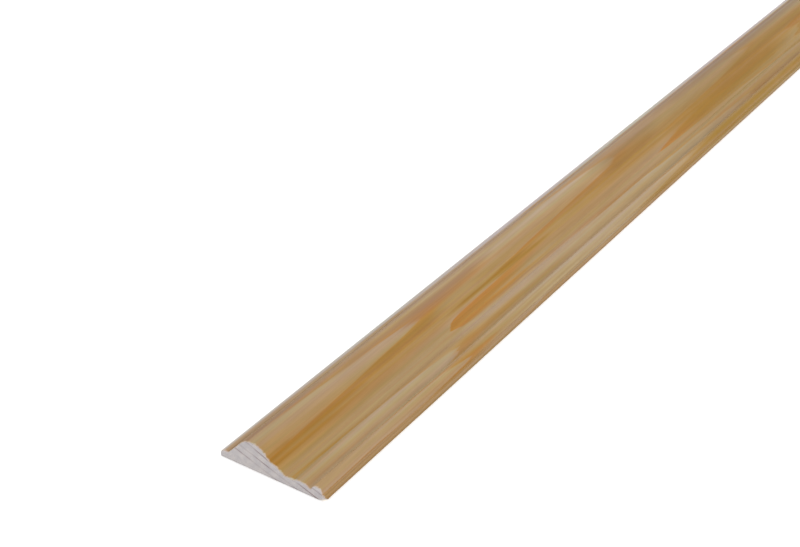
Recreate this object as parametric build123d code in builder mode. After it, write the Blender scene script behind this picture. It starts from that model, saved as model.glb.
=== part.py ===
from build123d import *
from math import cos, radians, sin, sqrt, tan
import os

# Moulded wood trim strip, sold by the length.
# X runs along the strip, +Y points to the thick back edge, +Z out of the moulded face.
# The origin is at the centre of the flat back face. All sizes are in millimetres.

# Length of stock
strip_length = 2400.0

# Back edge and the flat ledge beside it
ledge_height = 2.65
ledge_width = 3.1
ledge_cove_radius = 0.8
back_arris_radius = 1.4

# Crown, with its straight ramp on the back side and its fall towards the toe
ramp_angle = 47.5
crown_radius = 6.2
fall_angle = 54.0
fall_drop = 1.02

# Hollow at the foot of the fall, and the low shoulder that runs out of it
hollow_radius = 2.0
hollow_angle = 13.5
shoulder_radius = 10.0
shoulder_angle = 40.0
shoulder_foot_drop = 0.74

# Flat valley, and the low swelling beyond it
valley_height = 3.25
valley_width = 3.67
valley_cove_radius = 1.0
swelling_radius = 5.5
swelling_rise = 0.62

# Quirk, bead and toe
quirk_depth = 0.55
quirk_width = 0.65
bead_radius = 2.05
bead_rise = 1.85
toe_height = 1.95
toe_width = 0.85
toe_arris_radius = 0.3

# Broken corner of one end, under the toe
chip_length = 2.0
chip_width = 1.5
chip_height = 1.8


def arc_run(radius, steep, flat):
    """Width of a round between two slopes, in degrees."""
    return radius * (sin(radians(steep)) - sin(radians(flat)))


def arc_drop(radius, steep, flat):
    """Height of a round between two slopes, in degrees."""
    return radius * (cos(radians(flat)) - cos(radians(steep)))


def chord_run(radius, rise):
    """Half width of a round that stands this high over its foot."""
    return sqrt(radius**2 - (radius - rise) ** 2)


# Heights over the back face, from the valley up to the crown
shoulder_foot = valley_height + shoulder_foot_drop
shoulder_top = shoulder_foot + arc_drop(shoulder_radius, shoulder_angle, hollow_angle)
fall_foot = shoulder_top + arc_drop(hollow_radius, fall_angle, hollow_angle)
fall_top = fall_foot + fall_drop
strip_thickness = fall_top + arc_drop(crown_radius, fall_angle, 0.0)
ramp_top = strip_thickness - arc_drop(crown_radius, ramp_angle, 0.0)
quirk_height = valley_height - quirk_depth
bead_centre_height = quirk_height + bead_rise - bead_radius

# Places across the strip, counted from the back edge
ramp_end = ledge_width + (ramp_top - ledge_height) / tan(radians(ramp_angle))
crown_centre = ramp_end + arc_run(crown_radius, ramp_angle, 0.0)
fall_start = crown_centre + arc_run(crown_radius, fall_angle, 0.0)
fall_end = fall_start + fall_drop / tan(radians(fall_angle))
hollow_end = fall_end + arc_run(hollow_radius, fall_angle, hollow_angle)
shoulder_end = hollow_end + arc_run(shoulder_radius, shoulder_angle, hollow_angle)
valley_start = shoulder_end + shoulder_foot_drop / tan(radians(shoulder_angle))
valley_end = valley_start + valley_width
swelling_centre = valley_end + chord_run(swelling_radius, swelling_rise)
quirk_start = swelling_centre + chord_run(swelling_radius, swelling_rise + quirk_depth)
quirk_end = quirk_start + quirk_width
bead_centre = quirk_end + chord_run(bead_radius, bead_rise)
toe_start = bead_centre + bead_radius
strip_width = toe_start + toe_width


def at(across, height):
    """Point of the section, by its distance from the back edge and its height."""
    return (strip_width / 2 - across, height)


# One piece: the moulded section run along the whole length
with BuildPart() as trim_strip:
    with BuildSketch(Plane.YZ.offset(-strip_length / 2)) as section:
        with BuildLine() as outline:
            back_edge = Line(at(0, 0), at(0, ledge_height))
            ledge = Line(back_edge @ 1, at(ledge_width, ledge_height))
            ramp = Line(ledge @ 1, at(ramp_end, ramp_top))
            crown = RadiusArc(ramp @ 1, at(fall_start, fall_top), -crown_radius)
            fall = Line(crown @ 1, at(fall_end, fall_foot))
            hollow = RadiusArc(fall @ 1, at(hollow_end, shoulder_top), hollow_radius)
            shoulder = RadiusArc(hollow @ 1, at(shoulder_end, shoulder_foot), -shoulder_radius)
            shoulder_foot_slope = Line(shoulder @ 1, at(valley_start, valley_height))
            valley = Line(shoulder_foot_slope @ 1, at(valley_end, valley_height))
            swelling = RadiusArc(valley @ 1, at(quirk_start, quirk_height), -swelling_radius)
            quirk = Line(swelling @ 1, at(quirk_end, quirk_height))
            bead = ThreePointArc(
                quirk @ 1,
                at(bead_centre, bead_centre_height + bead_radius),
                at(toe_start, bead_centre_height),
            )
            bead_side = Line(bead @ 1, at(toe_start, toe_height))
            toe_top = Line(bead_side @ 1, at(strip_width, toe_height))
            toe_edge = Line(toe_top @ 1, at(strip_width, 0))
            back_face = Line(toe_edge @ 1, back_edge @ 0)
        make_face()
        rounded_corners = [
            (back_edge @ 1, back_arris_radius),
            (ledge @ 1, ledge_cove_radius),
            (valley @ 0, valley_cove_radius),
            (toe_edge @ 0, toe_arris_radius),
        ]
        for place, radius in rounded_corners:
            fillet(section.vertices().sort_by_distance(place)[0], radius=radius)
    extrude(amount=strip_length)

    # The corner breaks off along the plane through one point on each of its three edges
    corner = Vector(-strip_length / 2, -strip_width / 2, 0)
    chip_top = corner + Vector(0, 0, chip_height)
    to_side = Vector(chip_length, 0, -chip_height)
    to_end = Vector(0, chip_width, -chip_height)
    split(bisect_by=Plane(origin=chip_top, x_dir=to_side, z_dir=to_side.cross(to_end)))

trim_strip.part.label = "trim_strip"

os.makedirs("parts", exist_ok=True)
export_step(trim_strip.part, "parts/trim_strip.step")

print(f"section {strip_width:.3f} x {strip_thickness:.3f} mm, length {strip_length:.0f} mm")
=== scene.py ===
from math import ceil, cos, degrees, pi, radians, sin, sqrt, tan

import bpy
import numpy as np
from mathutils import Euler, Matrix, Vector, geometry, noise


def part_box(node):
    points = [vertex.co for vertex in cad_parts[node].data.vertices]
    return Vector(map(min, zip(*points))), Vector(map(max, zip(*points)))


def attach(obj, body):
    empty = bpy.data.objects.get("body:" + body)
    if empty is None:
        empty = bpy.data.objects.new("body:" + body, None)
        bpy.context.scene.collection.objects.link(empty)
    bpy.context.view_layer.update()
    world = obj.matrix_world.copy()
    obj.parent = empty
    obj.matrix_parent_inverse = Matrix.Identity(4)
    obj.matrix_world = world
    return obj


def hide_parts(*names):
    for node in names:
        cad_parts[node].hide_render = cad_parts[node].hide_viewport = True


# A moulded pine strip, lacquered on its moulded face, raw on its back and on its two sawn ends.
# X runs along the strip, +Y points to the thick back edge, +Z out of the moulded face.
# The script works in metres, with sizes written in millimetres times MM. The lists of the wood's figure
# are in plain millimetres: along from the near end, and across from the back edge.

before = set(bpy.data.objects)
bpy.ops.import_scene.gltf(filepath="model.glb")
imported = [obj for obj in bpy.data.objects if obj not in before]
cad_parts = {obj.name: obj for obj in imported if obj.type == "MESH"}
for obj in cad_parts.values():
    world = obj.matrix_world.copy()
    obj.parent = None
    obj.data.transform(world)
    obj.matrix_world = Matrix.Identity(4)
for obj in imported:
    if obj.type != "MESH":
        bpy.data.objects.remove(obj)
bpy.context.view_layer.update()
MM = 0.001

# Overall sizes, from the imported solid
strip_low, strip_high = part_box("trim_strip")
near_end = strip_low.x
far_end = strip_high.x
back_edge_y = strip_high.y
toe_edge_y = strip_low.y
strip_length = far_end - near_end

# Members of the section, from the back edge to the toe
ledge_height = 2.65 * MM
ledge_width = 3.1 * MM
ledge_cove_radius = 0.8 * MM
back_arris_radius = 1.4 * MM
ramp_angle = 47.5
crown_radius = 6.2 * MM
fall_angle = 54.0
fall_drop = 1.02 * MM
hollow_radius = 2.0 * MM
hollow_angle = 13.5
shoulder_radius = 10.0 * MM
shoulder_angle = 40.0
shoulder_foot_drop = 0.74 * MM
valley_height = 3.25 * MM
valley_width = 3.67 * MM
valley_cove_radius = 1.0 * MM
swelling_radius = 5.5 * MM
swelling_rise = 0.62 * MM
quirk_depth = 0.55 * MM
quirk_width = 0.65 * MM
bead_radius = 2.05 * MM
bead_rise = 1.85 * MM
toe_height = 1.95 * MM
toe_width = 0.85 * MM
toe_arris_radius = 0.3 * MM
toe_cove_radius = 0.42 * MM
eased_arris_radius = 0.15 * MM

# Broken corner of the near end, under the toe
chip_length = 2.0 * MM
chip_width = 1.5 * MM
chip_height = 1.8 * MM
chip_roughness = 0.12 * MM
chip_grain_per_mm = (0.7, 2.2, 2.2)

# Sawn ends: their slightly ragged arris, saw marks and torn grain
end_arris_inset = 0.10 * MM
end_arris_length = 0.16 * MM
end_arris_raggedness = 1.2
end_arris_grain_per_mm = (0.9, 1.9, 1.9)
saw_mark_depth = 0.035 * MM
saw_marks_per_mm = (2.6, 0.15)
saw_mark_lean = 0.5
torn_grain_depth = 0.03 * MM
torn_grain_per_mm = 1.1
torn_grain_shift = 5
near_end_seed = 1.5
far_end_seed = 8.5

# Late wood stands a hair proud of the moulded face, over a share of each ring from its boundary down
late_wood_relief = 0.03 * MM
late_wood_share = 0.22
late_wood_edge_share = 0.03

# Mesh spacing around the section
moulded_spacing = 0.46 * MM
back_spacing = 2.5 * MM
spacing_slack = 1e-6
arc_step_degrees = 9.0
corner_step_degrees = 18.0
least_corner_steps = 3
sharp_angle = 50.0

# Mesh spacing along the strip: cross rings are closer over the near stretch and finest at the ends
ring_spacing = 6.0 * MM
close_ring_spacing = 2.8 * MM
close_length = 290 * MM
first_ring_step = 0.12 * MM
ring_step_growth = 1.13

# Mesh spacing over the sawn ends
end_face_spacing = 0.38 * MM
end_rim_gap = 0.45 * end_face_spacing

# Material slots of the mesh
lacquered_slot = 0
raw_end_slot = 1
raw_back_slot = 2

# Texture map, in shares of its size: rows of the moulded face and of the back, and the two ends
map_rows = 3
map_gap = 0.005
face_row_height = 0.232
back_row_height = 0.05
end_row_height = 0.1
end_map_width = 0.5

# Growth rings slope down towards the toe. Height of the first ring boundary at the slope's centre, by
# the distance from the near end.
ring_slope_centre = 15.0
first_ring_line = [
    (-60, 6.9), (0, 8.05), (45, 8.85), (70, 9.2), (82, 9.5), (90, 9.75), (97, 10.25), (104, 10.5),
    (120, 10.75), (150, 11.35), (200, 12.45), (232, 13.2), (242, 13.75), (252, 14.1), (270, 14.45),
    (300, 15.1), (345, 16.1), (385, 17.1),
]
# Height from one ring boundary to the next, by the same distance
ring_distances = [
    (-60, 2.65), (0, 2.65), (60, 2.8), (80, 3.05), (92, 3.4), (95, 3.55), (98, 3.1), (102, 3.12),
    (120, 3.25), (150, 3.55), (200, 3.5), (240, 3.7), (270, 3.4), (300, 3.4), (345, 3.5), (385, 3.52),
]
# Fall of the rings towards the toe, by the same distance
ring_slopes = [
    (-60, 0.345), (110, 0.345), (150, 0.36), (200, 0.385), (240, 0.43), (270, 0.445), (345, 0.505),
    (400, 0.53),
]
# How far the rings wander up and down, by the same distance, and how long the waves are
ring_wander = [(0, 0.06), (300, 0.12), (700, 0.45)]
wander_lengths = (70, 16, 9)

# The lists start a margin before the near end, and are carried on at random to a margin past the far
# end, by runs from one pair to the next. The ring line climbs by a random share of each run.
near_margin = 60
far_margin = 100
line_runs = (35, 95)
mean_climb = 0.0235
line_climbs = (0.35 * mean_climb, 1.65 * mean_climb)
distance_runs = (90, 210)
later_distances = (3.4, 3.64)
slope_runs = (150, 300)
later_slopes = (0.28, 0.5)
line_smoothing = 4
ring_seed = 7

# Places where the rings sag near the face, or rise where the sag is below 0: from and to along the
# strip, middle and half width across it, and sag. One from before the near end is strong there already.
sag_depth = 1.6
ring_sags = [
    (-60, 130, 13.2, 2.7, -0.9),
    (-60, 60, 18.6, 1.4, 0.25),
    (-60, 76, 28.4, 1.3, 0.45),
    (30, 140, 39.2, 0.8, 1.3),
    (60, 240, 25.7, 0.9, 0.4),
    (70, 200, 23.2, 1.3, -0.35),
    (95, 480, 20.1, 0.9, -0.4),
    (170, 320, 13.2, 2.4, -0.35),
    (255, 345, 23.5, 1.6, -0.3),
]

# Streaks, in rows of the same kind with their strength last. One over the whole length runs out far
# beyond both ends.
whole_length = (-2000, 5000)
amber_streaks = [
    (-80, 95, 15.0, 9.0, 0.14),
    (-60, 42, 28.2, 0.6, 0.6),
    (-50, 52, 21.4, 0.7, 0.75),
    (-30, 54, 19.4, 0.9, 0.62),
    (-12, 16, 18.6, 0.5, 0.6),
    (45, 104, 18.0, 1.1, 0.4),
    (54, 100, 39.3, 0.35, 0.4),
    (94, 162, 20.4, 0.8, 0.95),
    (95, 172, 33.3, 0.8, 0.45),
    (122, 175, 21.3, 0.5, 0.8),
    (212, 305, 39.5, 0.9, 0.7),
    (222, 280, 17.6, 1.3, 0.5),
    (222, 560, 20.9, 0.4, 0.65),
    # Painted shade: this wide row darkens the whole face over the far stretch, where the light falls
    # off
    (240, 620, 22.0, 40.0, 0.4),
    (262, 330, 23.0, 1.6, 0.35),
    (262, 345, 21.0, 1.2, 0.5),
    (262, 396, 38.2, 2.4, 1.0),
    (270, 440, 22.9, 5.2, 0.95),
    (320, 520, 17.6, 3.0, 0.8),
    (325, 450, 31.8, 1.3, 0.6),
    (330, 520, 38.0, 2.4, 1.0),
]
rosy_streaks = [
    (-60, 45, 10.5, 0.7, 0.8),
    (-60, 110, 28.6, 1.0, 0.35),
    (8, 72, 11.4, 0.8, 0.8),
    (30, 108, 35.9, 1.1, 0.2),
    (35, 112, 12.9, 0.9, 0.9),
    (76, 116, 15.4, 1.0, 0.6),
    (76, 142, 13.8, 1.6, 0.8),
    (90, 190, 10.9, 0.8, 0.6),
    (118, 180, 26.9, 0.28, 0.55),
    (150, 212, 27.6, 0.28, 0.6),
    (150, 420, 11.3, 1.0, 0.6),
    (190, 262, 28.3, 0.28, 0.45),
    (225, 282, 14.8, 1.5, 0.7),
    # Painted shade: this row darkens the back of the crown over the far stretch, where the light falls
    # off
    (250, 520, 12.5, 2.2, 0.6),
]
pale_streaks = [
    (-60, 75, 34.5, 0.4, 0.4),
    (-60, 90, 31.0, 0.7, 0.4),
    (48, 120, 35.5, 0.8, 0.55),
    (84, 150, 11.6, 0.8, 0.5),
    (84, 215, 36.2, 1.6, 0.78),
    (86, 205, 28.9, 1.7, 1.0),
    (88, 126, 18.5, 0.9, 0.5),
    (102, 180, 37.8, 0.7, 0.5),
    (102, 235, 39.3, 0.5, 0.55),
    # Painted light: this row and the one at 33.6 lift the shade that falls in and beside the quirk
    (108, 245, 34.5, 0.45, 0.55),
    (112, 215, 13.7, 1.6, 0.45),
    (116, 245, 33.6, 0.8, 0.4),
    (118, 175, 24.6, 0.45, 0.35),
    (140, 240, 20.9, 0.7, 0.3),
]
# Dull streaks: dull wood near the end, and painted shade over the far stretch, where the light falls
# off along the strip
dull_and_shade_streaks = [
    (*whole_length, 38.8, 0.5, 0.16),
    (-60, 32, 32.2, 1.5, 0.12),
    (-60, 34, 2.9, 0.4, 0.5),
    (-60, 34, 11.7, 0.8, 0.2),
    (-60, 46, 10.4, 0.7, 0.55),
    (66, 130, 15.0, 2.0, 0.22),
    (215, 292, 14.0, 4.5, 0.3),
    # Painted shade: these rows darken the far stretch, where the light falls off
    (240, 520, 16.2, 2.0, 0.2),
    (240, 520, 33.5, 4.5, 0.22),
    (255, 520, 38.2, 1.8, 0.12),
    (265, 600, 11.4, 3.0, 0.8),
]
# Places where the late wood is thick, or faint where the strength is below 0
thick_late_wood = [
    (*whole_length, 40.2, 0.9, -1.5),
    (-60, 30, 38.5, 1.2, -0.4),
    (68, 106, 38.9, 0.9, 1.2),
    (78, 140, 15.4, 3.4, 0.9),
    (84, 140, 32.2, 1.7, 1.3),
    (85, 150, 24.3, 3.0, 1.1),
    (228, 285, 15.2, 3.2, 0.8),
    (262, 330, 24.3, 2.5, 0.7),
]
# A streak runs out softly over this share of its length at each end, and narrows there
taper_share = 0.25
taper_power = 0.7
least_width_share = 0.4

# More streaks at random, past the lists: start, spacing, lengths and middles, and for each kind a seed,
# half widths and strengths
random_start = 430
random_spacing = 22
random_lengths = (35, 150)
random_middles = (1, 39)
streak_kinds = {
    "amber": (amber_streaks, 21, (0.4, 1.6), (0.2, 0.8)),
    "rosy": (rosy_streaks, 55, (0.5, 1.4), (0.2, 0.6)),
    "pale": (pale_streaks, 89, (0.6, 1.8), (0.2, 0.7)),
    # The random dull streaks past the lists keep painting shade over the far stretch
    "dull_and_shade": (dull_and_shade_streaks, 13, (0.8, 2.2), (0.2, 0.6)),
    "thickness": (thick_late_wood, 34, (1.0, 3.0), (0.3, 1.0)),
}

# How deep the finish lies, by the place across the strip: thin over the rounds, pooled in the hollows.
# These depths also paint light: painted shade in the hollows and creases, and a paler painted sheen
# over the rounds.
finish_and_shade_depths = [
    (0.0, 0.2), (1.4, 0.1), (3.1, 0.2), (10.4, 0.35), (12.0, 0.15), (13.0, 0.0), (14.5, 0.0),
    (16.0, 0.25), (17.5, 0.45), (18.7, 0.7), (19.3, 0.9), (20.2, 0.62), (21.0, 0.75), (22.5, 0.45),
    (25.0, 0.38), (26.4, 0.3), (28.1, 0.4), (29.4, 0.1), (31.5, 0.0), (32.6, 0.3), (34.2, 0.15),
    (34.7, 0.25), (35.3, 0.12), (37.2, 0.12), (38.0, 0.3), (38.6, 0.32), (39.18, 0.3), (39.3, 0.1),
    (40.0, 0.2),
]


def arc_run(radius, steep, flat):
    """Width of a round between two slopes, in degrees."""
    return radius * (sin(radians(steep)) - sin(radians(flat)))


def arc_drop(radius, steep, flat):
    """Height of a round between two slopes, in degrees."""
    return radius * (cos(radians(flat)) - cos(radians(steep)))


def chord_run(radius, rise):
    """Half width of a round that stands this high over its foot."""
    return sqrt(radius**2 - (radius - rise) ** 2)


# Heights over the back face, from the valley up to the crown
shoulder_foot = valley_height + shoulder_foot_drop
shoulder_top = shoulder_foot + arc_drop(shoulder_radius, shoulder_angle, hollow_angle)
fall_foot = shoulder_top + arc_drop(hollow_radius, fall_angle, hollow_angle)
fall_top = fall_foot + fall_drop
strip_thickness = fall_top + arc_drop(crown_radius, fall_angle, 0.0)
ramp_top = strip_thickness - arc_drop(crown_radius, ramp_angle, 0.0)
quirk_height = valley_height - quirk_depth
bead_centre_height = quirk_height + bead_rise - bead_radius

# Places across the strip, counted from the back edge
ramp_end = ledge_width + (ramp_top - ledge_height) / tan(radians(ramp_angle))
crown_centre = ramp_end + arc_run(crown_radius, ramp_angle, 0.0)
fall_start = crown_centre + arc_run(crown_radius, fall_angle, 0.0)
fall_end = fall_start + fall_drop / tan(radians(fall_angle))
hollow_end = fall_end + arc_run(hollow_radius, fall_angle, hollow_angle)
shoulder_end = hollow_end + arc_run(shoulder_radius, shoulder_angle, hollow_angle)
valley_start = shoulder_end + shoulder_foot_drop / tan(radians(shoulder_angle))
valley_end = valley_start + valley_width
swelling_centre = valley_end + chord_run(swelling_radius, swelling_rise)
quirk_start = swelling_centre + chord_run(swelling_radius, swelling_rise + quirk_depth)
quirk_end = quirk_start + quirk_width
bead_centre = quirk_end + chord_run(bead_radius, bead_rise)
toe_start = bead_centre + bead_radius
strip_width = toe_start + toe_width


def arc(start, end, radius, side):
    """Points between the ends of an arc. Side is 1 for a proud round, -1 for a hollow."""
    start, end = np.array(start), np.array(end)
    chord = end - start
    half = np.hypot(*chord) / 2
    under = np.array([chord[1], -chord[0]]) / (2 * half)
    centre = (start + end) / 2 + under * side * sqrt(radius**2 - half**2)
    turn = 2 * np.arcsin(half / radius)
    steps = max(ceil(turn * radius / moulded_spacing), ceil(degrees(turn) / arc_step_degrees))
    arm = start - centre
    points = []
    for angle in -side * turn * np.arange(1, steps) / steps:
        across = centre[0] + (arm[0] * cos(angle) - arm[1] * sin(angle))
        height = centre[1] + (arm[0] * sin(angle) + arm[1] * cos(angle))
        points.append((across, height, 0.0))
    return points


def rounded(before, corner, after, radius):
    """Points that round a corner of the outline off, or hollow it out."""
    corner = np.array(corner)
    to_before = np.array(before) - corner
    to_after = np.array(after) - corner
    to_before /= np.hypot(*to_before)
    to_after /= np.hypot(*to_after)
    half_opening = np.arccos(np.clip(to_before @ to_after, -1, 1)) / 2
    reach = radius / tan(half_opening)
    first = corner + to_before * reach
    last = corner + to_after * reach
    inward = (to_before + to_after) / np.hypot(*(to_before + to_after))
    centre = corner + inward * radius / sin(half_opening)
    steps = max(least_corner_steps, ceil(degrees(pi - 2 * half_opening) / corner_step_degrees))
    points = []
    for share in np.linspace(0, 1, steps + 1):
        arm = (first - centre) * (1 - share) + (last - centre) * share
        points.append(centre + arm * radius / np.hypot(*arm))
    return points


def subdivided(points, spacing):
    """The same open outline with no run longer than the spacing."""
    dense = [points[0]]
    for start, end in zip(points, points[1:]):
        steps = ceil(np.hypot(*(end - start)) / spacing - spacing_slack)
        dense += [start + (end - start) * i / steps for i in range(1, steps + 1)]
    return dense


def outline_corners():
    """Corners of the moulded side as (across, height, radius), from the back edge to the toe."""
    ease = eased_arris_radius
    crown_start, crown_end = (ramp_end, ramp_top), (fall_start, fall_top)
    hollow_start, shoulder_start = (fall_end, fall_foot), (hollow_end, shoulder_top)
    foot_start, foot_end = (shoulder_end, shoulder_foot), (valley_start, valley_height)
    swelling_start, swelling_end = (valley_end, valley_height), (quirk_start, quirk_height)
    bead_start, bead_end = (quirk_end, quirk_height), (toe_start, bead_centre_height)
    return [
        (0.0, 0.0, ease),
        (0.0, ledge_height, back_arris_radius),
        (ledge_width, ledge_height, ledge_cove_radius),
        (*crown_start, 0.0),
        *arc(crown_start, crown_end, crown_radius, 1),
        (*crown_end, 0.0),
        (*hollow_start, 0.0),
        *arc(hollow_start, shoulder_start, hollow_radius, -1),
        (*shoulder_start, 0.0),
        *arc(shoulder_start, foot_start, shoulder_radius, 1),
        (*foot_start, 0.0),
        (*foot_end, valley_cove_radius),
        (*swelling_start, ease),
        *arc(swelling_start, swelling_end, swelling_radius, 1),
        (*swelling_end, ease),
        (*bead_start, ease),
        *arc(bead_start, bead_end, bead_radius, 1),
        (*bead_end, 0.0),
        (toe_start, toe_height, toe_cove_radius),
        (strip_width, toe_height, toe_arris_radius),
        (strip_width, 0.0, ease),
    ]


def moulded_outline():
    """Points of the moulded side of the section as (across, height)."""
    corners = outline_corners()
    points = []
    for i, (across, height, radius) in enumerate(corners):
        if radius == 0.0:
            points.append(np.array((across, height)))
            continue
        before = corners[i - 1][:2]
        after = corners[(i + 1) % len(corners)][:2]
        points += rounded(before, (across, height), after, radius)
    return subdivided(points, moulded_spacing)


def section_outline():
    """Closed outline of the section, and how many of its points are moulded."""
    moulded = moulded_outline()
    back = subdivided([moulded[-1], moulded[0]], back_spacing)[1:-1]
    return np.array(moulded + back), len(moulded)


def end_steps():
    """Distances from a sawn end, with steps that grow up to the ring spacing."""
    steps = [0.0]
    step = first_ring_step
    while step < ring_spacing:
        steps.append(steps[-1] + step)
        step *= ring_step_growth
    return np.array(steps)


def even_places(start, end, spacing):
    """Even places from the start to the end, both included."""
    return np.linspace(start, end, ceil((end - start) / spacing) + 1)


def ring_places():
    """Places of the mesh's cross rings along the strip."""
    far_steps = end_steps()
    near_steps = far_steps[: np.searchsorted(np.diff(far_steps), close_ring_spacing)]
    close_end = near_end + close_length
    middle_end = far_end - far_steps[-1]
    return np.concatenate(
        [
            near_end + near_steps[:-1],
            even_places(near_end + near_steps[-1], close_end, close_ring_spacing)[:-1],
            even_places(close_end, middle_end, ring_spacing),
            far_end - far_steps[-2::-1],
        ]
    )


def in_millimetres(places):
    """Distance from the near end, distance from the back edge, and height of each place."""
    from_end = (places[:, 0] - near_end) / MM
    across = (back_edge_y - places[:, 1]) / MM
    height = places[:, 2] / MM
    return from_end, across, height


def read_off(places, pairs):
    """Value at each place, read off a list of pairs."""
    return np.interp(places, *np.array(pairs).T)


def carried_on(pairs, runs, values, randomly, climbing=False):
    """The pairs, carried on at random past the far end. A climbing value grows with its run."""
    pairs = list(pairs)
    while pairs[-1][0] < strip_length / MM + far_margin:
        place, value = pairs[-1]
        run = randomly.uniform(*runs)
        drawn = randomly.uniform(*values)
        pairs.append((place + run, value + drawn * run if climbing else drawn))
    return pairs


def ring_lines():
    """Every millimetre along the strip, with the first ring line, ring distance and slope there."""
    randomly = np.random.default_rng(ring_seed)
    lines = [
        carried_on(first_ring_line, line_runs, line_climbs, randomly, climbing=True),
        carried_on(ring_distances, distance_runs, later_distances, randomly),
        carried_on(ring_slopes, slope_runs, later_slopes, randomly),
    ]
    along = np.arange(-near_margin, int(strip_length / MM) + far_margin)
    kernel = np.hanning(line_smoothing * 2 + 1)
    kernel /= kernel.sum()
    padded = [np.pad(read_off(along, pairs), line_smoothing, "edge") for pairs in lines]
    return along, *(np.convolve(values, kernel, "valid") for values in padded)


def face_heights(across):
    """Height of the moulded face at each place across the strip, in millimetres."""
    outline = np.array(moulded_outline()) / MM
    return np.interp(across, np.maximum.accumulate(outline[:, 0]), outline[:, 1])


def tapered(along, start, end):
    """1 over the middle of a stretch, running out softly at both ends."""
    share = np.clip((along - start) / (end - start), 0, 1)
    return np.clip(np.minimum(share, 1 - share) / taper_share, 0, 1) ** taper_power


def hump(across, middle, half_width):
    """1 at the middle, falling off smoothly to both sides."""
    return np.exp(-(((across - middle) / half_width) ** 2))


def ring_values(places):
    """Ring count at each place, falling by one from one ring boundary to the next on the way up."""
    along, line, distance, slope = ring_lines()
    from_end, across, height = in_millimetres(places)
    level = height + np.interp(from_end, along, slope) * (across - ring_slope_centre)
    depth = np.clip(face_heights(across) - height, 0, None)
    near_face = np.exp(-depth / sag_depth)
    for start, end, middle, width, sag in ring_sags:
        level += sag * tapered(from_end, start, end) * hump(across, middle, width) * near_face
    waves = np.stack([from_end, across, height], 1) / wander_lengths
    wander = np.array([noise.noise(Vector(place)) for place in waves])
    level += wander * read_off(from_end, ring_wander)
    return (np.interp(from_end, along, line) - level) / np.interp(from_end, along, distance)


def random_streaks(seed, widths, strengths):
    """Streaks at random past the stretch that the lists cover."""
    randomly = np.random.default_rng(seed)
    streaks = []
    for start in np.arange(random_start, strip_length / MM, random_spacing):
        end = start + randomly.uniform(*random_lengths)
        middle = randomly.uniform(*random_middles)
        streaks.append((start, end, middle, randomly.uniform(*widths), randomly.uniform(*strengths)))
    return streaks


def streak_values(places, streaks):
    """Strongest streak at each place. One below 0 takes away from the others."""
    from_end, across, _ = in_millimetres(places)
    most = np.zeros(len(places))
    least = np.zeros(len(places))
    for start, end, middle, width, strength in streaks:
        taper = tapered(from_end, start, end)
        spread = width * (least_width_share + (1 - least_width_share) * taper)
        streak = strength * taper * hump(across, middle, spread)
        most = np.maximum(most, streak)
        least = np.minimum(least, streak)
    return most + least


def grain_marks(places):
    """Strength of each kind of streak, and depth of the finish with its painted shade and sheen, at
    each place, by name.
    """
    marks = {}
    for name, (streaks, seed, widths, strengths) in streak_kinds.items():
        marks[name] = streak_values(places, streaks + random_streaks(seed, widths, strengths))
    marks["finish_and_shade"] = read_off(in_millimetres(places)[1], finish_and_shade_depths)
    return marks


def late_wood(rings):
    """1 in the dark late wood just under a ring boundary, falling to 0 below it."""
    share = rings % 1.0
    return np.clip(1 - share / late_wood_share, 0, 1) * np.clip(share / late_wood_edge_share, 0, 1)


def outward(outline):
    """Outward direction at each point of the closed outline."""
    along = np.roll(outline, -1, axis=0) - np.roll(outline, 1, axis=0)
    out = np.stack([-along[:, 1], along[:, 0]], 1)
    return out / np.hypot(*out.T)[:, None]


def grain_noise(place, per_mm):
    """Noise from -1 to 1 at a place, with its number of waves in a millimetre along, across and up."""
    return noise.noise(Vector([size * waves for size, waves in zip(place, per_mm)]) / MM)


def strip_places(outline, rings):
    """Points of the long surface, ring by ring, with a rounded, slightly ragged arris at each end."""
    out = outward(outline)
    places = []
    for x in rings:
        from_end = min(x - near_end, far_end - x)
        drawn_in = end_arris_inset * np.exp(-from_end / end_arris_length)
        for (across, height), (out_across, out_height) in zip(outline, out):
            ragged = grain_noise((x, across, height), end_arris_grain_per_mm)
            inset = drawn_in * (1 + end_arris_raggedness * ragged)
            y = back_edge_y - across + out_across * inset
            z = height - out_height * inset
            places.append((x, y, z))
    return np.array(places)


def break_corner(places):
    """Moves the points in the broken corner onto its rough face, and says which they are."""
    from_end = places[:, 0] - near_end
    from_toe = places[:, 1] - toe_edge_y
    height = places[:, 2]
    rough = np.array([grain_noise(place, chip_grain_per_mm) for place in places])
    reach = from_end / chip_length + from_toe / chip_width + height / chip_height
    missing = 1 - reach
    broken = missing > 0
    pull = (missing + rough * chip_roughness / chip_height)[broken]
    steep = 1 / chip_width**2 + 1 / chip_height**2
    places[broken, 1] += pull / chip_width / steep
    places[broken, 2] += pull / chip_height / steep
    return broken


def inside(points, loop):
    """Which points lie inside a closed loop, clear of its edge."""
    starts, ends = loop, np.roll(loop, -1, axis=0)
    crossings = np.zeros(len(points), int)
    nearest = np.full(len(points), np.inf)
    for (y0, z0), (y1, z1) in zip(starts, ends):
        spans = (z0 > points[:, 1]) != (z1 > points[:, 1])
        meets = y0 + (points[:, 1] - z0) * (y1 - y0) / (z1 - z0 or 1.0)
        crossings += spans & (points[:, 0] < meets)
        run = np.array([y1 - y0, z1 - z0])
        share = np.clip(((points - (y0, z0)) @ run) / (run @ run), 0, 1)
        gap = np.hypot(*(points - ((y0, z0) + share[:, None] * run)).T)
        nearest = np.minimum(nearest, gap)
    return (crossings % 2 == 1) & (nearest > end_rim_gap)


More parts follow.
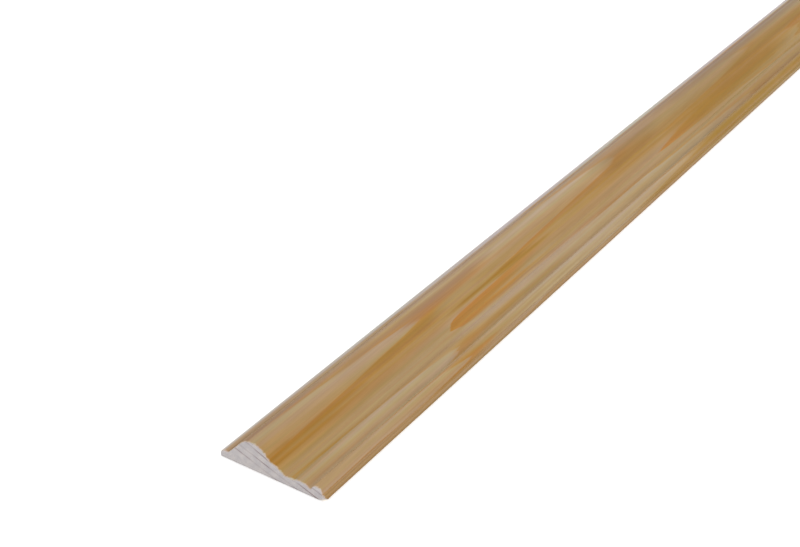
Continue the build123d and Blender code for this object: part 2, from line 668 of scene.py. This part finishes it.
def end_face(loop):
    """Points inside a sawn end, and its triangles over the loop and those points."""
    low, high = loop.min(0), loop.max(0)
    row_height = end_face_spacing * sqrt(3) / 2
    grid = []
    for i, z in enumerate(np.arange(low[1], high[1], row_height)):
        shift = end_face_spacing / 2 * (i % 2)
        grid += [(y, z) for y in np.arange(low[0] + shift, high[0], end_face_spacing)]
    grid = np.array(grid)
    middle = grid[inside(grid, loop)]
    points = [Vector(point) for point in np.concatenate([loop, middle])]
    edges = [(i, (i + 1) % len(loop)) for i in range(len(loop))]
    keep_inside = 1
    merge_distance = 1e-9
    found = geometry.delaunay_2d_cdt(points, edges, [], keep_inside, merge_distance)
    return middle, found[2]


def sawn_relief(points, seed):
    """How far a sawn end is cut back at each point, by saw marks up it and torn grain."""
    per_mm, up_per_mm = saw_marks_per_mm
    torn_seed = seed + torn_grain_shift
    cut = []
    for y, z in points / MM:
        saw_marks = noise.noise(Vector((y * per_mm + z * saw_mark_lean, z * up_per_mm, seed)))
        torn = noise.noise(Vector((y * torn_grain_per_mm, z * torn_grain_per_mm, torn_seed)))
        cut.append(saw_mark_depth * (0.5 + 0.5 * saw_marks) + torn_grain_depth * max(torn, 0))
    return np.array(cut)


def sawn_end(loop, first, next_point, inward, seed):
    """New points inside a sawn end, and its triangles as numbers of points, facing outward."""
    middle, triangles = end_face(loop[:, 1:])
    new_places = np.column_stack([loop[0, 0] + inward * sawn_relief(middle, seed), middle])
    numbers = [*range(first, first + len(loop)), *range(next_point, next_point + len(middle))]
    turn = -inward
    return new_places, [tuple(numbers[v] for v in triangle[::turn]) for triangle in triangles]


def long_faces(around, ring_total, moulded_count, broken):
    """Faces of the long surface, and the material slot of each."""
    faces, slots = [], []
    for i in range(ring_total - 1):
        for j in range(around):
            k = (j + 1) % around
            quad = (i * around + j, i * around + k, (i + 1) * around + k, (i + 1) * around + j)
            faces.append(quad)
            if all(broken[v] for v in quad):
                slots.append(raw_end_slot)
            elif j < moulded_count - 1:
                slots.append(lacquered_slot)
            else:
                slots.append(raw_back_slot)
    return faces, slots


def share_around(outline, moulded_count):
    """Which faces around the section are moulded, and where each starts and ends on its side."""
    closed = np.vstack([outline, outline[:1]])
    girth = np.concatenate([[0.0], np.cumsum(np.hypot(*np.diff(closed, axis=0).T))])
    face_girth = girth[moulded_count - 1]
    spans = np.stack([girth[:-1], girth[1:]], 1)
    on_face = np.arange(len(outline)) < moulded_count - 1
    back_spans = (spans - face_girth) / (girth[-1] - face_girth)
    return on_face, np.where(on_face[:, None], spans / face_girth, back_spans)


def long_map(outline, rings, moulded_count):
    """Map places of the long surface's corners: rows of the moulded face, then of the back."""
    on_face, share = share_around(outline, moulded_count)
    row_starts = [np.abs(rings - x).argmin() for x in np.linspace(near_end, far_end, map_rows + 1)]
    row = np.searchsorted(row_starts, np.arange(len(rings) - 1), side="right") - 1
    first, last = rings[row_starts][row], rings[row_starts][row + 1]
    along = (np.stack([rings[:-1], rings[1:]], 1) - first[:, None]) / (last - first)[:, None]

    back_start = map_gap + map_rows * (face_row_height + map_gap)
    face_base = map_gap + row * (face_row_height + map_gap)
    back_base = back_start + row * (back_row_height + map_gap)
    base = np.where(on_face, face_base[:, None], back_base[:, None])
    height = np.where(on_face, face_row_height, back_row_height)
    spots = np.empty((len(rings) - 1, len(outline), 4, 2))
    spots[..., 0] = (map_gap + along * (1 - 2 * map_gap))[:, None, [0, 0, 1, 1]]
    spots[..., 1] = base[..., None] + (share * height[:, None])[None][..., [0, 1, 1, 0]]
    return spots.reshape(-1, 2)


def end_map(places, number):
    """Map places of a sawn end's corners, in the row over the back's."""
    start = map_gap + map_rows * (face_row_height + back_row_height + 2 * map_gap)
    share_across = (places[:, 1] - toe_edge_y) / strip_width
    share_up = places[:, 2] / strip_thickness
    side = map_gap + end_map_width * number + share_across * (end_map_width - 2 * map_gap)
    return np.stack([side, start + share_up * end_row_height], 1)


def raise_late_wood(places, counts, outline, ring_total, moulded_count):
    """Lifts the late wood out of the moulded face."""
    moulded = np.tile(np.arange(len(outline)) < moulded_count, ring_total)
    relief = np.tile(outward(outline), (ring_total, 1)) * late_wood(counts[: len(moulded)])[:, None]
    relief *= late_wood_relief * moulded[:, None]
    places[: len(moulded), 1] -= relief[:, 0]
    places[: len(moulded), 2] += relief[:, 1]


def make_mesh(places, faces, slots, spots, marks):
    """Mesh with its material slots, its texture map and the marks of the grain."""
    mesh = bpy.data.meshes.new("moulded_strip")
    mesh.from_pydata([tuple(place) for place in places], [], faces)
    mesh.polygons.foreach_set("material_index", slots)
    mesh.polygons.foreach_set("use_smooth", [True] * len(faces))
    for name, values in marks.items():
        layer = mesh.attributes.new(name, "FLOAT", "POINT")
        layer.data.foreach_set("value", values.astype(np.float32))
    layer = mesh.uv_layers.new(name="OFBake")
    layer.uv.foreach_set("vector", spots.astype(np.float32).ravel())
    mesh.set_sharp_from_angle(angle=radians(sharp_angle))
    mesh.update()
    return mesh


def make_strip():
    """The strip as one closed mesh, from the long surface and the two sawn ends."""
    outline, moulded_count = section_outline()
    rings = ring_places()
    around = len(outline)
    places = strip_places(outline, rings)
    broken = break_corner(places)
    faces, slots = long_faces(around, len(rings), moulded_count, broken)
    spots = [long_map(outline, rings, moulded_count)]

    last_ring = (len(rings) - 1) * around
    ends = [(0, 1, near_end_seed), (last_ring, -1, far_end_seed)]
    for number, (first, inward, seed) in enumerate(ends):
        loop = places[first : first + around]
        new_places, triangles = sawn_end(loop, first, len(places), inward, seed)
        places = np.concatenate([places, new_places])
        faces += triangles
        slots += [raw_end_slot] * len(triangles)
        spots += [end_map(places[list(triangle)], number) for triangle in triangles]

    counts = ring_values(places)
    raise_late_wood(places, counts, outline, len(rings), moulded_count)
    marks = {"ring_count": counts, **grain_marks(places)}
    mesh = make_mesh(places, faces, slots, np.concatenate(spots), marks)
    strip = bpy.data.objects.new("moulded_strip", mesh)
    bpy.context.scene.collection.objects.link(strip)
    return strip


def linear(red, green, blue):
    """Scene-linear colour, from screen values of 0 to 255."""
    shares = np.array([red, green, blue]) / 255
    light = np.where(shares <= 0.04045, shares / 12.92, ((shares + 0.055) / 1.055) ** 2.4)
    return (*light, 1.0)


class Surface:
    """A material and short calls that add nodes to it."""

    def __init__(self, name):
        self.material = bpy.data.materials.new(name)
        self.material.use_nodes = True
        self.tree = self.material.node_tree
        self.shader = self.tree.nodes["Principled BSDF"]

    def add(self, kind, **settings):
        """A new node with its settings."""
        node = self.tree.nodes.new("ShaderNode" + kind)
        for name, value in settings.items():
            setattr(node, name, value)
        return node

    def feed(self, value, socket):
        """Sets a socket to a number or colour, or links an output to it."""
        if isinstance(value, bpy.types.NodeSocket):
            self.tree.links.new(value, socket)
        else:
            socket.default_value = value

    def value(self, name):
        """A mark of the grain, stored on the mesh."""
        return self.add("Attribute", attribute_name=name).outputs["Fac"]

    def place(self):
        """Place on the object, in metres."""
        return self.add("TexCoord").outputs["Object"]

    def axis(self, letter):
        """Place along one of its axes, in metres."""
        axes = self.add("SeparateXYZ")
        self.feed(self.place(), axes.inputs[0])
        return axes.outputs[letter]

    def math(self, operation, *values):
        """Result of one operation on numbers."""
        node = self.add("Math", operation=operation)
        for value, socket in zip(values, node.inputs):
            self.feed(value, socket)
        return node.outputs[0]

    def between(self, value, low, high, to_low=0.0, to_high=1.0, smooth=True):
        """A number spread from one range to another."""
        node = self.add("MapRange", interpolation_type="SMOOTHSTEP" if smooth else "LINEAR")
        names = ("Value", "From Min", "From Max", "To Min", "To Max")
        for name, number in zip(names, (value, low, high, to_low, to_high)):
            self.feed(number, node.inputs[name])
        return node.outputs["Result"]

    def noise(self, per_metre, detail=2.0, roughness=0.5):
        """Noise from 0 to 1, with its number of waves in a metre along, across and up."""
        scaled = self.add("VectorMath", operation="MULTIPLY")
        self.feed(self.place(), scaled.inputs[0])
        scaled.inputs[1].default_value = per_metre
        node = self.add("TexNoise")
        self.feed(scaled.outputs[0], node.inputs["Vector"])
        for name, number in (("Scale", 1.0), ("Detail", detail), ("Roughness", roughness)):
            node.inputs[name].default_value = number
        return node.outputs["Fac"]

    def varied(self, per_metre, shares, values, detail=2.0):
        """Noise with the range between two shares spread between two values."""
        return self.between(self.noise(per_metre, detail), *shares, *values)

    def ramp(self, value, stops):
        """Colours by their place between 0 and 1."""
        node = self.add("ValToRGB")
        self.feed(value, node.inputs["Fac"])
        stop_list = node.color_ramp.elements
        while len(stop_list) < len(stops):
            stop_list.new(0.5)
        for stop, (at, colour) in zip(stop_list, stops):
            stop.position = at
            stop.color = colour
        return node.outputs["Color"]

    def mix(self, share, first, second, blend="MIX"):
        """Blend of two colours."""
        node = self.add("Mix", data_type="RGBA", blend_type=blend)
        self.feed(share, node.inputs[0])
        self.feed(first, node.inputs[6])
        self.feed(second, node.inputs[7])
        return node.outputs[2]

    def tinted(self, colour, tint):
        """A colour times another."""
        return self.mix(1.0, colour, tint, "MULTIPLY")

    def shaded(self, colour, light):
        """A colour times a number."""
        node = self.add("VectorMath", operation="SCALE")
        self.feed(colour, node.inputs[0])
        self.feed(light, node.inputs["Scale"])
        return node.outputs[0]

    def bump(self, height, distance, strength):
        """Fine relief of the surface."""
        node = self.add("Bump")
        node.inputs["Strength"].default_value = strength
        node.inputs["Distance"].default_value = distance
        self.feed(height, node.inputs["Height"])
        self.feed(node.outputs["Normal"], self.shader.inputs["Normal"])

    def finished(self, colour, roughness, specular):
        """The material, once its colour, roughness and shine are set."""
        self.feed(colour, self.shader.inputs["Base Color"])
        self.feed(roughness, self.shader.inputs["Roughness"])
        self.shader.inputs["Specular IOR Level"].default_value = specular
        return self.material


# Lacquered wood: early wood from one ring boundary to the next, late wood and streaks
early_wood_stops = [
    (0.00, linear(165, 135, 90)),
    (0.35, linear(167, 140, 100)),
    (0.62, linear(169, 144, 109)),
    (0.85, linear(171, 150, 120)),
    (1.00, linear(176, 156, 129)),
]
golden_wood = linear(172, 142, 93)
orange_late_wood = linear(180, 130, 54)
brown_late_wood = linear(170, 125, 62)
streak_colours = {
    "pale": linear(176, 158, 134),
    "rosy": linear(158, 122, 88),
    "amber": linear(154, 118, 22),
    # Dull streaks: dull wood, and painted shade over the far stretch
    "dull_and_shade": linear(130, 107, 78),
}

# Late wood on the moulded face, as shares of a ring. It rises to full just over a ring boundary, and is
# full over a share of its reach under it. Where it is marked as thick, it reaches and covers more.
late_rise_start = 0.94
late_full_share = 0.12
late_reach = (0.22, 0.3)
added_late_reach = 0.24
late_strength = (0.5, 0.85)
added_late_strength = (-0.8, 0.3)

# Tints that multiply the wood's colour
# Finish tints, partly painted light: the thin one leaves a paler painted sheen over the rounds, the
# pooled one darkens the hollows with painted shade
thin_finish_and_sheen = (1.0, 1.0, 1.0, 1.0)
pooled_finish_and_shade = (0.95, 0.73, 0.26, 1.0)
# Ramp tints: brown from steep grain and painted shade, grey for a painted reflection
shaded_brown_ramp = (0.62, 0.49, 0.34, 1.0)
grey_sheen_ramp = (0.62, 0.60, 1.10, 1.0)
golden_threads = (0.98, 0.945, 0.84, 1.0)
pale_threads = (1.02, 1.045, 1.13, 1.0)
rosy_tint = (1.015, 0.955, 1.01, 1.0)
olive_tint = (0.985, 1.03, 0.97, 1.0)

# Tint of the ramp between the ledge and the crown: darker brown from its steep grain and from painted
# shade on a side turned from the light, and greyer farther from the near end, a painted reflection that
# grows as the view grazes the ramp
ramp_tint_rise = (2.7 * MM, 3.3 * MM)
ramp_tint_fade = 3.2 * MM
ramp_tint_strength = 0.8
sheen_greying_length = 330 * MM

# Painted sheen on the back arris: a pale grey painted highlight, over a width that grows from the near
# end on
arris_sheen = linear(187, 181, 176)
sheen_widths = (1.9 * MM, 3.0 * MM)
sheen_growth_length = 180 * MM
sheen_start_share = 0.54
sheen_strength = 0.88

# Painted shade on the side of the toe, a darker brown, strongest at its foot
toe_side_shade = linear(142, 108, 51)
toe_side_inset = 0.3 * MM
toe_foot_height = 0.5 * MM
toe_top_strength = 0.4

# Finish torn off beside the saw cuts, by a ragged width with a soft edge
bared_wood = linear(188, 174, 158)
torn_widths = (0.05 * MM, 0.65 * MM)
torn_edge = (-0.3 * MM, 0.35 * MM)

# Roughness: satin, glossier on the back arris and more matt on the ramp
satin_roughness = 0.4
arris_roughness = 0.25
added_on_ramp = 0.22
torn_roughness = 0.8
arris_gloss_fade = (1.6 * MM, 2.8 * MM)

# Raw wood of the sawn ends, darker along the foot, and of the back, dusty beside the ends
end_grain_dark = linear(176, 171, 172)
end_grain_pale = linear(188, 182, 180)
end_late_wood = linear(126, 109, 110)
dark_foot_height = 0.5 * MM
dark_foot_light = 0.78
back_wood_stops = [
    (0.00, linear(186, 146, 104)),
    (0.14, linear(200, 168, 128)),
    (0.40, linear(212, 186, 150)),
    (1.00, linear(220, 199, 168)),
]
dusty_arris = linear(142, 137, 136)

# Late wood on the sawn ends, as shares of a ring, with finer lines between. It is clear in the upper
# rings and turns faint between two ring counts.
end_line_reach = 0.24
end_line_rise_start = 0.92
clear_ring_counts = (2.2, 2.7)
faint_strength = 0.12
fine_lines_per_ring = 4.0
fine_line_reach = 0.35
fine_line_strength = 0.3


def torn_finish(wood, along):
    """1 where the finish is torn off beside a sawn end, with a ragged edge."""
    near = wood.math("SUBTRACT", along, near_end)
    far = wood.math("SUBTRACT", far_end, along)
    from_end = wood.math("MINIMUM", near, far)
    ragged = wood.varied((300, 800, 800), (0.25, 0.75), torn_widths, detail=3.0)
    past_edge = wood.math("SUBTRACT", from_end, ragged)
    return wood.between(past_edge, *torn_edge, 1.0, 0.0)


def wavering_share(wood):
    """Place from one ring boundary to the next, from 0 to 1, with boundaries that waver and feather."""
    waver = wood.varied((14, 220, 220), (0.2, 0.8), (-0.025, 0.025))
    feather = wood.varied((22, 900, 900), (0.2, 0.8), (-0.03, 0.03))
    count = wood.math("ADD", wood.value("ring_count"), wood.math("ADD", waver, feather))
    return wood.math("FRACT", count)


def late_wood_cover(wood, share):
    """How much late wood covers the early wood, wider and stronger where it is marked as thick."""
    thickness = wood.value("thickness")
    added_reach = wood.math("MULTIPLY", wood.math("MAXIMUM", thickness, 0.0), added_late_reach)
    reach = wood.math("ADD", wood.varied((7, 90, 90), (0.3, 0.7), late_reach), added_reach)
    under = wood.between(share, wood.math("MULTIPLY", reach, late_full_share), reach, 1.0, 0.0)
    over = wood.between(share, late_rise_start, 1.0)
    added_strength = wood.between(thickness, -1.0, 1.0, *added_late_strength, smooth=False)
    strength = wood.math("ADD", wood.varied((11, 130, 130), (0.3, 0.7), late_strength), added_strength)
    return wood.math("MULTIPLY", wood.math("MAXIMUM", under, over), wood.math("MAXIMUM", strength, 0.0))


def ringed_wood(wood):
    """Early and late wood, with the streaks over them."""
    share = wavering_share(wood)
    golden = wood.varied((6, 300, 300), (0.42, 0.7), (0.0, 0.7), detail=3.0)
    early = wood.mix(golden, wood.ramp(share, early_wood_stops), golden_wood)
    hue = wood.varied((6, 60, 60), (0.4, 0.6), (0.0, 0.7))
    late = wood.mix(hue, orange_late_wood, brown_late_wood)
    grain = wood.mix(late_wood_cover(wood, share), early, late)
    for streak, colour in streak_colours.items():
        grain = wood.mix(wood.value(streak), grain, colour)
    return grain


def with_pooled_finish_and_shade(wood, grain):
    """The grain under a finish that is darker where it lies deep: partly pooled finish, partly painted
    shade in the hollows and creases, with a paler painted sheen left over the rounds.
    """
    uneven = wood.varied((12, 60, 60), (0.3, 0.7), (0.75, 1.1))
    depth = wood.math("MULTIPLY", wood.value("finish_and_shade"), uneven)
    return wood.tinted(grain, wood.mix(depth, thin_finish_and_sheen, pooled_finish_and_shade))


def ramp_cover(wood, across):
    """1 on the ramp between the ledge and the crown, fading out over the crown."""
    past_ledge = wood.between(across, *ramp_tint_rise)
    before_crown = wood.between(across, ramp_end, ramp_end + ramp_tint_fade, 1.0, 0.0)
    return wood.math("MINIMUM", past_ledge, before_crown)


def with_ramp_shade_and_sheen(wood, grain, cover, along):
    """The grain with its ramp, brown at the near end from its grain and painted shade, and greyer
    farther on, a painted reflection.
    """
    sheen_greying = wood.between(along, near_end, near_end + sheen_greying_length, smooth=False)
    tint = wood.mix(sheen_greying, shaded_brown_ramp, grey_sheen_ramp)
    return wood.mix(wood.math("MULTIPLY", cover, ramp_tint_strength), grain, tint, "MULTIPLY")


def with_arris_sheen(wood, grain, across, along):
    """The grain with a pale grey painted sheen on the back arris."""
    width = wood.between(along, near_end, near_end + sheen_growth_length, *sheen_widths)
    start = wood.math("MULTIPLY", width, sheen_start_share)
    return wood.mix(wood.between(across, start, width, sheen_strength, 0.0), grain, arris_sheen)


def with_shaded_toe(wood, grain, across):
    """The grain with painted shade on the side of the toe, darker brown towards its foot."""
    past_toe = wood.between(across, toe_start + toe_side_inset, strip_width)
    low_down = wood.between(wood.axis("Z"), toe_foot_height, toe_height, 1.0, toe_top_strength)
    return wood.mix(wood.math("MULTIPLY", past_toe, low_down), grain, toe_side_shade)


def with_fine_grain(wood, grain, fibres):
    """The grain with its threads, its faint tints, and light and dark fibres, clouds and flecks."""
    threads = wood.noise((8, 420, 420), detail=3.0, roughness=0.6)
    grain = wood.tinted(grain, wood.mix(wood.between(threads, 0.3, 0.7), golden_threads, pale_threads))
    tints = wood.noise((6, 480, 480), detail=3.0, roughness=0.6)
    grain = wood.tinted(grain, wood.mix(wood.between(tints, 0.35, 0.65), rosy_tint, olive_tint))
    fibre_light = wood.between(fibres, 0.25, 0.75, 0.955, 1.045)
    cloud_light = wood.varied((5, 70, 70), (0.25, 0.75), (0.975, 1.025))
    fleck_light = wood.varied((70, 1100, 1100), (0.25, 0.75), (0.96, 1.04))
    light = wood.math("MULTIPLY", wood.math("MULTIPLY", fibre_light, cloud_light), fleck_light)
    return wood.shaded(grain, light)


def lacquer_roughness(wood, across, ramp, fibres, torn):
    """Roughness of the finish, or of the bare wood where the finish is torn off."""
    plain = wood.between(across, *arris_gloss_fade, arris_roughness, satin_roughness)
    on_ramp = wood.between(ramp, 0.0, 1.0, 0.0, added_on_ramp)
    uneven = wood.between(fibres, 0.3, 0.7, -0.04, 0.04)
    satin = wood.math("ADD", wood.math("ADD", on_ramp, plain), uneven)
    return wood.math("MAXIMUM", satin, wood.math("MULTIPLY", torn, torn_roughness))


def lacquered_wood():
    """Satin lacquer on the moulded face: amber late wood, golden and pale early wood."""
    wood = Surface("lacquered_pine")
    along = wood.axis("X")
    across = wood.math("SUBTRACT", back_edge_y, wood.axis("Y"))
    ramp = ramp_cover(wood, across)
    torn = torn_finish(wood, along)
    fibres = wood.noise((9, 1500, 1500), detail=3.0, roughness=0.6)
    # The finish depths paint shade into the hollows and a paler sheen over the rounds
    grain = with_pooled_finish_and_shade(wood, ringed_wood(wood))
    # Painted shade and painted reflection on the ramp
    grain = with_ramp_shade_and_sheen(wood, grain, ramp, along)
    # Painted sheen on the back arris
    grain = with_arris_sheen(wood, grain, across, along)
    # Painted shade on the side of the toe
    grain = with_shaded_toe(wood, grain, across)
    grain = wood.mix(torn, grain, bared_wood)
    colour = with_fine_grain(wood, grain, fibres)
    wood.bump(fibres, distance=0.02 * MM, strength=0.6)
    return wood.finished(colour, lacquer_roughness(wood, across, ramp, fibres, torn), specular=0.22)


def end_lines(wood):
    """Thin late wood on a sawn end, with finer lines between, clear only in the upper rings."""
    count = wood.value("ring_count")
    share = wood.math("FRACT", count)
    clear = wood.between(count, *clear_ring_counts, 1.0, faint_strength)
    uneven = wood.varied((200, 200, 200), (0.35, 0.65), (0.35, 1.0), detail=1.0)
    under = wood.between(share, 0.0, end_line_reach, 1.0, 0.0)
    over = wood.between(share, end_line_rise_start, 1.0)
    line = wood.math("MULTIPLY", wood.math("MAXIMUM", under, over), uneven)
    fine_share = wood.math("FRACT", wood.math("MULTIPLY", count, fine_lines_per_ring))
    fine_line = wood.between(fine_share, 0.0, fine_line_reach, fine_line_strength, 0.0)
    return wood.math("MULTIPLY", wood.math("MAXIMUM", line, fine_line), clear)


def raw_end_wood():
    """Sawn end: grey-beige end grain with thin brown late wood."""
    wood = Surface("raw_end_grain")
    clouds = wood.varied((420, 420, 420), (0.3, 0.7), (0.0, 1.0))
    plain = wood.mix(clouds, end_grain_dark, end_grain_pale)
    grain = wood.mix(end_lines(wood), plain, end_late_wood)
    speckle = wood.noise((2600, 2600, 2600))
    foot_light = wood.between(wood.axis("Z"), 0.0, dark_foot_height, dark_foot_light, 1.0)
    light = wood.math("MULTIPLY", wood.between(speckle, 0.25, 0.75, 0.92, 1.08), foot_light)
    colour = wood.shaded(grain, light)
    wood.bump(speckle, distance=0.05 * MM, strength=0.5)
    return wood.finished(colour, wood.between(speckle, 0.3, 0.7, 0.75, 0.9), specular=0.2)


def raw_back_wood():
    """Planed back: pale raw pine with straight fibres."""
    wood = Surface("raw_planed_pine")
    grain = wood.ramp(wood.math("FRACT", wood.value("ring_count")), back_wood_stops)
    grain = wood.mix(torn_finish(wood, wood.axis("X")), grain, dusty_arris)
    fibres = wood.noise((10, 1600, 1600), detail=3.0, roughness=0.6)
    colour = wood.shaded(grain, wood.between(fibres, 0.25, 0.75, 0.95, 1.05))
    wood.bump(fibres, distance=0.04 * MM, strength=0.6)
    return wood.finished(colour, wood.between(fibres, 0.3, 0.7, 0.65, 0.8), specular=0.25)


# Floor, light and world
floor_half = 12.0
floor_gap = 0.05 * MM
floor_white = (0.98, 0.98, 0.98, 1.0)
floor_glow = 0.2
pure_white = (1.0, 1.0, 1.0, 1.0)
light_direction = (0.35, 0.9, -1.6)
light_spread = 45.0
light_strength = 0.35
world_strength = 1.0

# Camera: place in metres, turns in degrees, lens and film width in millimetres
camera_place = (-1.45585, -0.21870, 0.27377)
camera_heading = 33.87
camera_tilt = 31.03
camera_lens = 63.36
camera_film_width = 36.0
camera_nearest = 0.01


def make_floor():
    """Pale floor that the strip lies on."""
    mesh = bpy.data.meshes.new("floor")
    signs = ((-1, -1), (1, -1), (1, 1), (-1, 1))
    corners = [(x * floor_half, y * floor_half, -floor_gap) for x, y in signs]
    mesh.from_pydata(corners, [], [(0, 1, 2, 3)])
    floor = bpy.data.objects.new("floor", mesh)
    bpy.context.scene.collection.objects.link(floor)
    paper = Surface("floor_paper")
    paper.shader.inputs["Emission Color"].default_value = pure_white
    paper.shader.inputs["Emission Strength"].default_value = floor_glow
    mesh.materials.append(paper.finished(floor_white, 0.9, specular=0.0))


def make_light():
    """A soft light that shines the same way everywhere."""
    lamp = bpy.data.lights.new("key_light", "SUN")
    lamp.angle = radians(light_spread)
    lamp.energy = light_strength
    light = bpy.data.objects.new("key_light", lamp)
    light.rotation_euler = Vector(light_direction).to_track_quat("-Z", "Y").to_euler()
    bpy.context.scene.collection.objects.link(light)


def make_world():
    """White light from all around."""
    world = bpy.data.worlds.new("studio")
    world.use_nodes = True
    background = world.node_tree.nodes["Background"]
    background.inputs["Color"].default_value = pure_white
    background.inputs["Strength"].default_value = world_strength
    bpy.context.scene.world = world


def make_camera():
    """Camera beyond the near end on the toe's side, looking down along the strip."""
    data = bpy.data.cameras.new("camera")
    data.sensor_width = camera_film_width
    data.lens = camera_lens
    data.clip_start = camera_nearest
    camera = bpy.data.objects.new("camera", data)
    camera.location = camera_place
    camera.rotation_euler = Euler((radians(90 - camera_tilt), 0.0, radians(camera_heading - 90)))
    bpy.context.scene.collection.objects.link(camera)
    bpy.context.scene.camera = camera


make_camera()
make_world()
make_light()
make_floor()

strip = make_strip()
for material in (lacquered_wood(), raw_end_wood(), raw_back_wood()):
    strip.data.materials.append(material)
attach(strip, "root")
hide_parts("trim_strip")

bpy.context.scene.view_settings.view_transform = "Standard"
